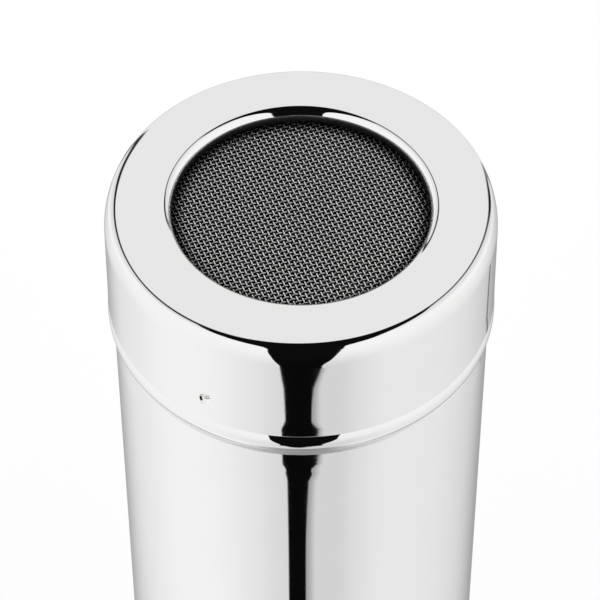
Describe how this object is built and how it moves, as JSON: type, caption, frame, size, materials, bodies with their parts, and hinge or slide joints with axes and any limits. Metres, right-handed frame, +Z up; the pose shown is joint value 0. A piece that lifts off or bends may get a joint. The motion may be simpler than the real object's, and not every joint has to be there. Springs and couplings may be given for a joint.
{
  "type": "spice shaker",
  "caption": "Cylindrical steel spice shaker with a twist-on lid, a round opening and a woven wire sieve.",
  "frame": {"origin": "middle of the base, on the surface that the shaker stands on", "axes": "+Z up along the shaker's axis, -Y towards the front that the picture shows"},
  "size_m": [0.0706, 0.0706, 0.12],
  "materials": {
    "polished_steel": "mirror polished stainless steel with fine wiping marks",
    "pressed_steel": "bright pressed stainless steel",
    "steel_wire": "bright drawn stainless steel wire in plain weave"
  },
  "bodies": {
    "cup": {"cup": "polished_steel"},
    "sieve": {"sieve_ring": "pressed_steel", "sieve_cloth": "steel_wire"},
    "lid": {"lid_shell": "polished_steel"}
  },
  "joints": [
    {"name": "lid_lift", "type": "slide", "parent": "cup", "child": "sieve", "axis": [0, 0, 1], "range_m": [0, 0.045]},
    {"name": "lid_turn", "type": "hinge", "parent": "sieve", "child": "lid", "pos_m": [0, 0, 0.1], "axis": [0, 0, 1], "range_deg": [-30, 0]}
  ]
}
